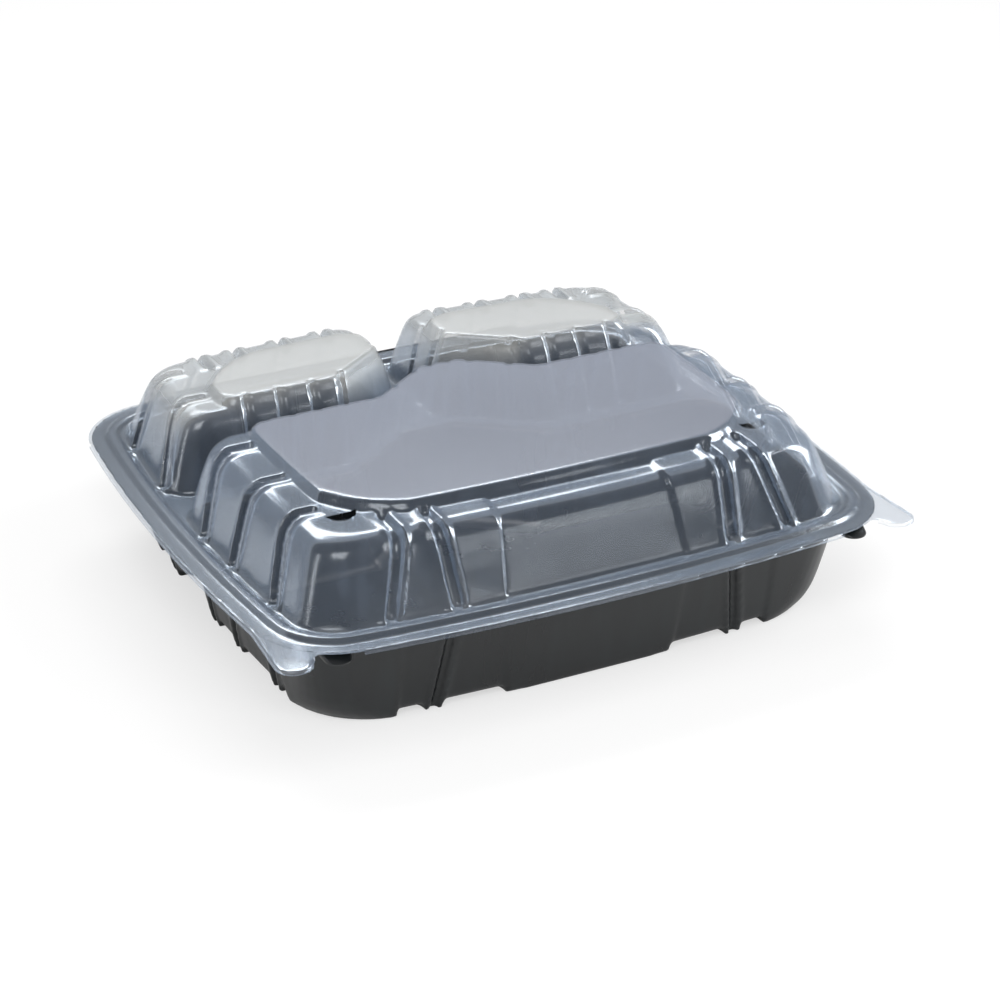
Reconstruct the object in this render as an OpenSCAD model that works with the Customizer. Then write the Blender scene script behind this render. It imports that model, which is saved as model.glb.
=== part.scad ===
/* [Overall size] */
// width of the lid across its bowed sides, mm
lid_w = 266.7; // [255:0.1:280]
// depth from the front lip to the hinge line, mm
lid_d = 241.3; // [230:0.1:255]
// height of the closed container, mm
full_h = 76.2; // [74:0.1:78]
// height of the seam between base and lid, mm
seam_z = 43.2; // [42:0.1:44]

/* [Sheet] */
// thickness of the formed sheet, mm
wall = 0.5; // [0.4:0.05:0.6]
// gap between the rim of the base and the rim of the lid, mm
rim_gap = 0.3; // [0.25:0.05:0.4]

/* [Rim] */
// how far each side bows outward at its middle, mm
bow = 8.4; // [7:0.1:10]
// corner radius of the rim, mm
corner_r = 33; // [30:0.5:36]
// distance from the lip in to the foot of the walls, mm
rim_width = 15.3; // [15:0.1:16]
// distance from the lip in to the raised bead, mm
bead_in = 6.6; // [6:0.1:7]
// width of the raised bead at its foot, mm
bead_w = 7.4; // [7:0.1:8]
// height of the raised bead, mm
bead_h = 1.8; // [1.5:0.1:2]
// depth of the turned-down skirt of the lid, mm
skirt_h = 1.7; // [1.5:0.1:2]
// distance from the skirt of the lid in to the lip of the base, mm
skirt_gap = 0.6; // [0.5:0.1:0.8]

/* [Walls] */
// width of the wall-to-wall floor of the valleys between the domes, mm
valley_w = 8; // [7.5:0.5:9]
// distance from the middle of the container back to the valley, mm
valley_y = 20; // [19:0.5:21]
// depth of the grooves between the wall columns, mm
groove_depth = 2.3; // [2:0.1:2.6]
// width of the floor of a groove, mm
groove_w = 3.2; // [2.8:0.1:3.6]
// drop of the ledge below the flat top of a dome, mm
ledge_drop = 3.7; // [3:0.1:4.5]

/* [Openings and tabs] */
// half width of a vent slot, mm
vent_r = 6; // [5:0.5:7]
// radius of the tip of a lid tab, mm
tab_r = 7; // [6:0.5:8]
// radius of the blend between a lid tab and the front lip, mm
tab_blend = 8; // [7:0.5:9]
// drop of the tip of a base tab below the rim, mm
tab_drop = 3.4; // [3:0.1:4]

/* [Hinge] */
// length of the hinge along the rear rim, mm
hinge_len = 160; // [140:1:170]
// radius of the hinge bead at the rear edge of the base, mm
hinge_r = 0.6; // [0.55:0.05:0.65]
// gap between the hinge bead and the rear edge of the lid, mm
hinge_gap = 0.15; // [0.12:0.01:0.2]

/* [Hidden] */
$fn = 20;

// Heights
base_top = seam_z - rim_gap / 2;
lid_under = seam_z + rim_gap / 2;
lid_top = lid_under + wall;
ledge_z = full_h - ledge_drop;
// how far a cut runs past the face it opens
cut_through = 0.4;

// Places that follow from the sizes
hinge_y = lid_d / 2 - hinge_r;
// where the lid ends in front of the hinge bead
lid_end = hinge_y - hinge_r - hinge_gap;
// places of the feet of the side walls and of the front and rear walls
foot_x = lid_w / 2 - rim_width;
foot_y = lid_d / 2 - rim_width;

// Shared curves
valley_front = valley_y - valley_w / 2;
valley_back = valley_y + valley_w / 2;
// half width of the floor of the middle valley
mid_half = 6;
// the tongue of the front compartment: how far its slanted sides and its tip stand out
tongue_side = 39.5;
tongue_tip = 41;
tongue_root = -30;
// the slanted side of a rear compartment that faces the tongue
rear_side = 45.5;
// slopes of the walls on the two sides of the cross valley, as shares of the usual one
front_slope = 0.45;
rear_slope = 1.35;
// direction of those slanted sides
slant = [0.6, 0.8];
// points of the bowed sides, as shares of half the side
bow_shares = [-0.66, -0.34, 0, 0.34, 0.66];
// how far a groove slab reaches in from the wall and out from it
groove_reach = 13;
groove_start = 12;
// front panel: half widths at its foot and top, and its recess
panel_foot = 38;
panel_top = 34.5;
panel_depth = 1;
// the grooves that face the valleys end this far below the ledge
valley_groove_end = 1.7;
// where the corner columns of the base begin, from the middle
corner_col = [77.5, 66];
// width of the sharp rib beside a groove of the base
rib_w = 2;
// how far the skirt of the lid stands out past its flat rim
lip_step = 0.2;
// the skirt of the lid ends this far back, and this far from the tips of the base tabs
skirt_end = 88;
tab_clear = 10;
// root and tip of a base tab, in from the side and the front of the lid, and their radii
tab_root = [28, 21];
tab_tip = [27, 11.2];
root_r = 8;
tip_r = 5;
// middle of a vent, in from the side and the front of the lid
vent_in = [47.4, 53.6];
// segments of one rounded corner
corner_segs = 4;

// Half sizes of the bowed outline, taken in by i, at one place along a side.
function half_x(y, i) = lid_w / 2 - i - bow * pow(y / (lid_d / 2), 2);
function half_y(x, i) = lid_d / 2 - i - bow * pow(x / (lid_w / 2), 2);

// Where two bowed sides would meet.
function corner_x(i) = half_x(lid_d / 2 - i - bow * 0.87, i);
function corner_y(i) = half_y(corner_x(i), i);

function unit(v) = v / norm(v);

// Points of an arc about c from s to e, the short way round.
function arc_points(c, s, e) =
    let (
        a = atan2(s[1] - c[1], s[0] - c[0]),
        b = atan2(e[1] - c[1], e[0] - c[0]),
        d = b - a > 180 ? b - a - 360 : b - a < -180 ? b - a + 360 : b - a,
        r = norm(s - c)
    )
    [for (k = [0 : corner_segs])
        c + r * [cos(a + d * k / corner_segs), sin(a + d * k / corner_segs)]];

// A polygon whose corners are rounded; each entry is a point and its radius.
function rounded(list) =
    [for (n = [0 : len(list) - 1])
        let (
            p = list[n][0],
            r = list[n][1],
            u = unit(list[(n + len(list) - 1) % len(list)][0] - p),
            v = unit(list[(n + 1) % len(list)][0] - p),
            half = acos(u * v) / 2,
            c = p + unit(u + v) * r / sin(half)
        )
        each (r == 0 ? [p] : arc_points(c, p + u * r / tan(half), p + v * r / tan(half)))];

// Points of a bowed side that faces the front, from left to right, past one place.
function front_side(i, from = -lid_w) =
    [for (k = bow_shares) let (x = k * corner_x(i)) if (x > from) [[x, -half_y(x, i)], 0]];

// Points of the bowed side that faces right, from front to rear, between two places.
function right_side(i, from = -lid_d, to = lid_d) =
    [for (k = bow_shares) let (y = k * corner_y(i)) if (y > from && y < to) [[half_x(y, i), y], 0]];

function mirrored(list) = [for (n = [len(list) - 1 : -1 : 0]) [[-list[n][0][0], list[n][0][1]], list[n][1]]];
function flipped(list) = [for (n = [len(list) - 1 : -1 : 0]) [[list[n][0][0], -list[n][0][1]], list[n][1]]];

// The bowed outline of the rim, taken in from the lip.
function rim_points(i) =
    let (right = concat(
        [[[corner_x(i), -corner_y(i)], corner_r - i]],
        right_side(i),
        [[[corner_x(i), corner_y(i)], corner_r - i]]))
    rounded(concat(front_side(i), right, flipped(front_side(i)), mirrored(right)));

module rim_outline(i = 0) {
    polygon(rim_points(i));
}

// Plan of the front compartment at one height: outer inset, valley inset, two corner radii.
function front_plan(out_in, valley_in, r, valley_r) =
    let (
        i = rim_width + out_in,
        back = valley_front - valley_in * front_slope,
        right = concat(
            [[[corner_x(i), -corner_y(i)], r]],
            right_side(i, to = back - valley_r),
            [[[half_x(back, i), back], valley_r]])
    )
    rounded(concat(front_side(i), right, mirrored(right)));

// Plan of the tongue of the front compartment at one height.
function tongue_plan(valley_in, r) =
    let (
        side = tongue_side - valley_in,
        tip = tongue_tip - valley_in,
        right = [
            [[side / slant[0], tongue_root], 0],
            [[side / slant[0], 0], 0],
            [[(side - slant[1] * tip) / slant[0], tip], r]
        ]
    )
    rounded(concat(right, mirrored(right)));

// Plan of the right rear compartment at one height.
function rear_plan(out_in, valley_in, r, valley_r) =
    let (
        i = rim_width + out_in,
        front = valley_back + valley_in * rear_slope,
        mid = mid_half + valley_in,
        side = rear_side + valley_in
    )
    rounded(concat(
        [[[(side - slant[1] * front) / slant[0], front], valley_r / 2],
        [[half_x(front, i), front], valley_r]],
        right_side(i, from = front + valley_r),
        [[[corner_x(i), corner_y(i)], r]],
        flipped(front_side(i, from = mid + valley_r)),
        [[[mid, half_y(mid, i)], valley_r],
        [[mid, (side - slant[0] * mid) / slant[1]], valley_r / 2]]));

// Profile of the lid walls from the foot up: outer and valley inset, height, corner radii.
lower_steps = [
    [0, 0, lid_under, 18, 12],
    [8, 4.8, lid_under + 20, 16, 9],
    [12, 6.8, ledge_z - 2.6, 15, 8],
    [17.5, 8.4, ledge_z, 14, 7]
];
upper_steps = [
    [25.6, 7.6, ledge_z - 3.4, 35, 8],
    [27.2, 8.6, full_h - 1.6, 35, 8],
    [29.4, 10.4, full_h, 34, 7]
];

// Profile of the base walls from the rim down, with a round foot and with a sharp one.
round_steps = [
    [0, 0, base_top, 18, 12],
    [5.8, 4.6, 9, 24, 10],
    [9, 6.6, 2.8, 30, 9],
    [15, 10, 0, 32, 8]
];
sharp_steps = [
    [-0.3, -0.3, base_top, 18, 12],
    [5, 3.6, 10, 24, 11],
    [7.4, 5.2, 0, 36, 10]
];

// One level of a profile. The sheet moves in by t on the walls and by lift on the flats.
function level(kind, s, t, lift) =
    let (plan = kind == "front" ? front_plan(s[0] + t, s[1] + t, s[3], s[4])
        : kind == "tongue" ? tongue_plan(s[1] + t, s[4] / 2)
        : rear_plan(s[0] + t, s[1] + t, s[3], s[4]))
    [for (p = plan) [p[0], p[1], s[2] + lift]];

// The smallest body around the rings of points.
module loft(rings) {
    count = [for (r = rings) len(r)];
    start = [for (n = 0, at = 0; n < len(rings); at = at + count[n], n = n + 1) at];
    hull()
        polyhedron(
            points = [for (r = rings) each r],
            faces = [for (n = [0 : len(rings) - 1]) [for (k = [0 : count[n] - 1]) start[n] + k]]);
}

// A smooth body through all levels of a profile; an inner one runs on through the open side.
module stack(kind, steps, t, lift) {
    through = steps == upper_steps ? t : t == 0 ? 0 : steps == lower_steps ? -cut_through : cut_through;
    loft([for (n = [0 : len(steps) - 1]) level(kind, steps[n], t, n == 0 ? through : lift)]);
}

// The four points of a groove slab at one height.
function slab_ring(p, dir, z, half, reach) =
    [for (c = [[-reach, -half], [-reach, half], [groove_start, half], [groove_start, -half]])
        [p[0] + dir[0] * c[0] - dir[1] * c[1], p[1] + dir[1] * c[0] + dir[0] * c[1], z]];

// A leaning slab that cuts one groove, from its foot on the wall to its top on the ledge.
module groove_slab(foot, top, dir, z_foot, z_top, half, reach = groove_reach) {
    loft([slab_ring(foot, dir, z_foot, half, reach), slab_ring(top, dir, z_top, half, reach)]);
}

// Grooves of the front compartment: foot, top and the way they face.
front_grooves = [for (s = [-1, 1]) each [
    [[s * 83, -foot_y], [s * 73, -foot_y + 20], [0, -1]],
    [[s * 56.5, -foot_y], [s * 58.5, -foot_y + 20], [0, -1]],
    [[s * foot_x, -73], [s * (foot_x - 14), -60], [s, 0]],
    [[s * foot_x, -38], [s * (foot_x - 14), -31], [s, 0]],
    [[s * foot_x, -12], [s * (foot_x - 14), 0], [s, 0]]
]];

// Grooves of the rear wall of the front compartment.
front_valley_grooves = [for (s = [-1, 1]) for (x = [38, 52, 66, 80])
    [[s * x, valley_front], [s * x, valley_front - 4], [0, 1]]];

// Grooves of the outer walls of the right rear compartment.
rear_grooves = [
    [[foot_x, 34], [foot_x - 14, 50], [1, 0]],
    [[foot_x, 74], [foot_x - 14, 76], [1, 0]],
    [[88, foot_y], [80, foot_y - 19], [0, 1]],
    [[67, foot_y], [65, foot_y - 18], [0, 1]],
    [[46, foot_y], [45, foot_y - 18], [0, 1]],
    [[25, foot_y], [26, foot_y - 18], [0, 1]]
];

// Grooves of the walls of the right rear compartment that face the valleys.
rear_valley_grooves = [
    [[82, valley_back], [80, valley_back + 11], [0, -1]],
    [[68, valley_back], [66, valley_back + 11], [0, -1]],
    [[54, valley_back], [52, valley_back + 11], [0, -1]],
    [[40, valley_back + 4], [38, valley_back + 15], [0, -1]],
    [[mid_half, 61], [mid_half + 8, 61], [-1, 0]],
    [[mid_half, 76], [mid_half + 8, 76], [-1, 0]]
];

// All grooves of one compartment, grown sideways for the inner face of the sheet.
module groove_set(list, z_low, z_high, grow) {
    for (g = list)
        groove_slab(g[0], g[1], g[2], z_low, z_high, groove_w / 2 + grow, groove_reach + grow);
}

// The flat panel in the middle of the front wall.
module front_panel_slab(z_foot, z_top, grow) {
    loft([for (e = [[panel_foot, z_foot], [panel_top, z_top]])
        slab_ring([0, -lid_d / 2 + rim_width], [0, -1], e[1], e[0] + grow, 2 * groove_reach)]);
}

// The lower, fluted tier and the smooth upper tier of one dome.
module dome_body(kind, t, lift) {
    stack(kind, lower_steps, t, lift);
    stack(kind, upper_steps, t, lift);
}

// One dome of the lid. A positive t gives the inner face of the sheet.
module dome(kind, outer_list, valley_list, t) {
    difference() {
        dome_body(kind, t, -t);
        difference() {
            union() {
                groove_set(outer_list, lid_under - 1, ledge_z + 1, t);
                groove_set(valley_list, lid_under - 1, ledge_z - valley_groove_end + t, t);
            }
            stack(kind, lower_steps, groove_depth + t, -groove_depth - t);
            stack(kind, upper_steps, t, -t);
        }
        if (kind == "front")
            difference() {
                front_panel_slab(lid_under - 1, ledge_z + 1, t);
                stack(kind, lower_steps, panel_depth + t, -panel_depth - t);
                stack(kind, upper_steps, t, -t);
            }
    }
}

// All three domes.
module domes(t) {
    dome("front", front_grooves, front_valley_grooves, t);
    dome_body("tongue", t, -t);
    for (m = [0, 1])
        mirror([m, 0, 0])
            dome("rear", rear_grooves, rear_valley_grooves, t);
}

// One tub of the base: round-footed columns, sharp-footed ribs beside the grooves.
module tub(kind, outer_list, valley_list, t) {
    difference() {
        union() {
            stack(kind, round_steps, t, t);
            intersection() {
                stack(kind, sharp_steps, t, t);
                union() {
                    groove_ribs(outer_list, t);
                    corner_blocks(kind == "front" ? -1 : 1, t);
                    if (kind == "front")
                        front_panel_slab(base_top + 1, -1, -t);
                }
            }
        }
        difference() {
            union() {
                groove_set(outer_list, base_top + 1, -1, t);
                groove_set(valley_list, base_top + 1, -1, t);
            }
            stack(kind, sharp_steps, groove_depth + t, t);
        }
    }
}

// Narrow ribs on both sides of each groove, down to the table.
module groove_ribs(list, t) {
    for (g = list)
        groove_slab(g[0], g[1], g[2], base_top + 1, -1, groove_w / 2 + rib_w - t);
}

// The corner columns, whose sharp foot stands on the table; the way is -1 in front, 1 at the rear.
module corner_blocks(way, t) {
    size = [lid_w / 2 - corner_col[0] - t, lid_d / 2 - corner_col[1] - t, base_top + 2];
    for (s = way < 0 ? [-1, 1] : [1])
        translate([s > 0 ? lid_w / 2 - size[0] : -lid_w / 2,
            way > 0 ? lid_d / 2 - size[1] : -lid_d / 2, -1])
            cube(size);
}

// All three tubs.
module tubs(t) {
    tub("front", base_front_grooves, base_valley_grooves, t);
    stack("tongue", round_steps, t, t);
    for (m = [0, 1])
        mirror([m, 0, 0])
            tub("rear", base_rear_grooves, [], t);
}

// Grooves of the base lean the other way, in towards the bottom.
base_front_grooves = [for (s = [-1, 1]) each [
    [[s * 57, -foot_y], [s * 63.5, -foot_y + 9], [0, -1]],
    [[s * foot_x, -65], [s * (foot_x - 8), -56], [s, 0]],
    [[s * foot_x, -31], [s * (foot_x - 8), -23], [s, 0]],
    [[s * foot_x, -4], [s * (foot_x - 8), 0], [s, 0]]
]];
base_valley_grooves = [for (s = [-1, 1]) for (x = [52, 80])
    [[s * x, valley_front], [s * x, valley_front - 5], [0, 1]]];
base_rear_grooves = [
    [[foot_x, 44], [foot_x - 8, 46], [1, 0]],
    [[60, foot_y], [58, foot_y - 9], [0, 1]],
    [[34, foot_y], [34, foot_y - 9], [0, 1]]
];

// One ring of the rim at a height.
function rim_ring(i, z) = [for (p = rim_points(i)) [p[0], p[1], z]];

// Rim bead: a ring raised above the flat rim, from the height z up to the height top.
module bead(z, top, grow) {
    rise = top - z;
    difference() {
        loft([rim_ring(bead_in - grow, z), rim_ring(bead_in - grow + rise, top)]);
        loft([
            rim_ring(bead_in + bead_w + grow + cut_through, z - cut_through),
            rim_ring(bead_in + bead_w + grow - rise - cut_through, top + cut_through)]);
    }
}

// Straight strip that carries the hinge along the rear rim.
module hinge_strip(z, end_y) {
    translate([-hinge_len / 2, lid_d / 2 - bead_in, z])
        cube([hinge_len, end_y - lid_d / 2 + bead_in, wall]);
}

// A flat tab past one rounded front corner of the lid, blended into the front lip.
module lid_tab() {
    middle = [-corner_x(0) + corner_r, -corner_y(0) + corner_r];
    tip = [-lid_w / 2 + lip_step + 2.2 + tab_r, -lid_d / 2 + 1.8 + tab_r];
    away = norm(tip - middle);
    along = (pow(corner_r + tab_blend, 2) - pow(tab_r + tab_blend, 2) + pow(away, 2)) / 2 / away;
    aside = sqrt(pow(corner_r + tab_blend, 2) - pow(along, 2));
    u = unit(tip - middle);
    blend = middle + u * along + [-u[1], u[0]] * aside;
    difference() {
        hull() {
            translate(tip)
                circle(tab_r);
            translate([-lid_w / 2 + 6.6, -74])
                circle(1.5);
            translate(middle + unit(blend - middle) * (corner_r - 1.5))
                circle(1);
        }
        translate(blend)
            circle(tab_blend);
    }
}

// A tab of the base that dips below the rim of the lid.
module base_tab() {
    hull() {
        translate([-lid_w / 2 + tab_root[0], -lid_d / 2 + tab_root[1], base_top - wall])
            cylinder(r = root_r, h = wall);
        translate([-lid_w / 2 + tab_tip[0], -lid_d / 2 + tab_tip[1], base_top - wall - tab_drop])
            cylinder(r = tip_r, h = wall);
    }
}

// Half round vent slot at one front corner.
module vent(side) {
    translate([side * (lid_w / 2 - vent_in[0]), -lid_d / 2 + vent_in[1], ledge_z - 2 * groove_depth])
        linear_extrude(4 * groove_depth)
            intersection() {
                circle(vent_r);
                translate([-vent_r, -vent_r])
                    square([2 * vent_r, vent_r]);
            }
}

// Black base: rim, bead, three tubs and the hinge bead.
module base() {
    color([0.07, 0.075, 0.08])
        difference() {
            union() {
                translate([0, 0, base_top - wall])
                    linear_extrude(wall)
                        rim_outline(skirt_gap + wall);
                hinge_strip(base_top - wall, hinge_y);
                translate([-hinge_len / 2, hinge_y, seam_z])
                    rotate([0, 90, 0])
                        cylinder(r = hinge_r, h = hinge_len);
                bead(base_top - wall / 2, base_top + bead_h, 0);
                tubs(0);
                for (m = [0, 1])
                    mirror([m, 0, 0])
                        base_tab();
            }
            bead(base_top - wall - cut_through, base_top + bead_h - wall, 0);
            tubs(wall);
        }
}

// Clear lid: rim, bead, skirt, two tabs and three domes with two vents.
module lid() {
    color([0.72, 0.76, 0.82, 0.55])
        difference() {
            union() {
                translate([0, 0, lid_under])
                    linear_extrude(wall) {
                        difference() {
                            rim_outline(lip_step);
                            translate([-hinge_len / 2 - hinge_gap, lid_end])
                                square([hinge_len + 2 * hinge_gap, lid_d]);
                        }
                        for (m = [0, 1])
                            mirror([m, 0])
                                lid_tab();
                    }
                hinge_strip(lid_under, lid_end);
                bead(lid_top - wall / 2, lid_top + bead_h, 0);
                skirt();
                domes(0);
            }
            bead(lid_under - cut_through, lid_under + bead_h, 0);
            domes(wall);
            for (s = [-1, 1])
                vent(s);
        }
}

// Turned-down edge of the lid, left out near the hinge and over the base tabs.
module skirt() {
    translate([0, 0, lid_top - skirt_h])
        linear_extrude(skirt_h - wall / 4)
            difference() {
                rim_outline();
                rim_outline(wall);
                translate([-lid_w / 2, skirt_end])
                    square([lid_w, lid_d]);
                for (s = [-1, 1])
                    translate([s * (lid_w / 2 - tab_tip[0]), -lid_d / 2 + tab_tip[1]])
                        circle(tab_clear);
            }
}

base();
lid();
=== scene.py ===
"""Visual model of a hinged-lid takeaway food container with three compartments.

Each half of the container is one formed sheet. It is modelled as a former would make it: a solid
mould is built from lofted tubs or domes, cut with grooves, rounded, and its skin is given the
thickness of the sheet.
"""

import logging
import math
from dataclasses import dataclass, field
from enum import Enum
from typing import Iterable, Sequence

import bpy
from mathutils import Matrix, Vector


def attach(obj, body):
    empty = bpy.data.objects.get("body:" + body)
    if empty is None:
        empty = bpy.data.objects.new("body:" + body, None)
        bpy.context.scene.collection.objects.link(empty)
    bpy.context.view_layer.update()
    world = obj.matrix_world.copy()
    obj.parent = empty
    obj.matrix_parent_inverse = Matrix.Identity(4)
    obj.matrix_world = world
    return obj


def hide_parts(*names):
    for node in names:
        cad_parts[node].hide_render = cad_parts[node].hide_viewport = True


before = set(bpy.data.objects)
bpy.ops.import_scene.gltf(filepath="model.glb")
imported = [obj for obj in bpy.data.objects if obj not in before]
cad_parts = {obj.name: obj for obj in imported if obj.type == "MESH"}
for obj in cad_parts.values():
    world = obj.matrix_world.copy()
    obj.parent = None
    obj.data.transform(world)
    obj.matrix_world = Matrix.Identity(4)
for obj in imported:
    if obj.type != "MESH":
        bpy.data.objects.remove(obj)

Point = tuple[float, float]
Place = tuple[float, float, float]
Ring = list[Place]
Step = tuple[float, float, float, float, float]
Groove = tuple[Point, Point, Point]
Corners = list[tuple[Point, float]]
Body = bpy.types.Object

MM = 0.001
FAR = 1000.0
PAST = 5.0

log = logging.getLogger("container")
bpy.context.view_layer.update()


class Part(Enum):
    """How one solid is combined with another."""

    UNITE = "UNION"
    CUT = "DIFFERENCE"
    COMMON = "INTERSECT"


class Compartment(Enum):
    """The compartments of the container, by the way their walls run."""

    FRONT = "front"
    TONGUE = "tongue"
    REAR = "rear"


class Side(Enum):
    """Left and right half of the container."""

    LEFT = -1
    RIGHT = 1


COMPARTMENTS = (
    (Compartment.FRONT, Side.RIGHT),
    (Compartment.TONGUE, Side.RIGHT),
    (Compartment.REAR, Side.RIGHT),
    (Compartment.REAR, Side.LEFT),
)


class Bench:
    """Mesh work done with Blender's own operators, on one object at a time."""

    @staticmethod
    def only(obj: Body) -> None:
        """Selects one object and makes it the active one."""
        bpy.ops.object.select_all(action="DESELECT")
        obj.select_set(True)
        bpy.context.view_layer.objects.active = obj

    @staticmethod
    def hull(name: str, rings: Sequence[Ring]) -> Body:
        """Makes the smallest body around rings of points.

        Args:
            name: Name of the new object.
            rings: Rings of points in millimetres.

        Returns:
            The new object.
        """
        points = [point for ring in rings for point in ring]
        bpy.ops.object.select_all(action="DESELECT")
        bpy.ops.mesh.primitive_circle_add(vertices=len(points), radius=1.0)
        obj = bpy.context.object
        obj.name = name
        for vertex, point in zip(obj.data.vertices, points):
            vertex.co = Vector(point) * MM
        bpy.ops.object.mode_set(mode="EDIT")
        bpy.ops.mesh.select_all(action="SELECT")
        bpy.ops.mesh.convex_hull(join_triangles=False)
        bpy.ops.mesh.select_all(action="SELECT")
        bpy.ops.mesh.normals_make_consistent(inside=False)
        bpy.ops.object.mode_set(mode="OBJECT")
        return obj

    @staticmethod
    def join(objects: Sequence[Body]) -> Body:
        """Joins objects into the first one.

        Args:
            objects: The objects, which don't overlap.

        Returns:
            The first object, which now holds all meshes.
        """
        Bench.only(objects[0])
        for other in objects[1:]:
            other.select_set(True)
        if len(objects) > 1:
            bpy.ops.object.join()
        return objects[0]

    @staticmethod
    def modify(obj: Body, kind: str, **settings: object) -> None:
        """Adds a modifier and applies it.

        Args:
            obj: The object that changes.
            kind: The modifier's type.
            settings: The modifier's settings.
        """
        Bench.only(obj)
        modifier = obj.modifiers.new(kind.lower(), kind)
        for name, value in settings.items():
            setattr(modifier, name, value)
        bpy.ops.object.modifier_apply(modifier=modifier.name)

    @staticmethod
    def combine(obj: Body, tool: Body, part: Part, keep: bool = False) -> None:
        """Unites an object with a tool body or cuts it with one.

        Args:
            obj: The object that changes.
            tool: The body it is combined with.
            part: The kind of combination.
            keep: Whether the tool body is still needed afterwards.
        """
        Bench.modify(obj, "BOOLEAN", operation=part.value, solver="MANIFOLD", object=tool)
        if not keep:
            bpy.data.objects.remove(tool, do_unlink=True)

    @staticmethod
    def bisect(obj: Body, height: float, below: bool, chosen: Iterable[int] | None = None) -> None:
        """Cuts a mesh at a height and clears one side.

        Args:
            obj: The object to cut.
            height: Height of the cut in millimetres.
            below: Whether the lower side is cleared, and not the upper one.
            chosen: Numbers of the faces that take part, or None for all.
        """
        Bench.only(obj)
        bpy.ops.object.mode_set(mode="EDIT")
        bpy.ops.mesh.select_mode(type="FACE")
        bpy.ops.mesh.select_all(action="SELECT" if chosen is None else "DESELECT")
        if chosen is not None:
            bpy.ops.object.mode_set(mode="OBJECT")
            for number in chosen:
                obj.data.polygons[number].select = True
            bpy.ops.object.mode_set(mode="EDIT")
        bpy.ops.mesh.bisect(
            plane_co=(0, 0, height * MM), plane_no=(0, 0, 1), clear_inner=below, clear_outer=not below
        )
        bpy.ops.object.mode_set(mode="OBJECT")


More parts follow.
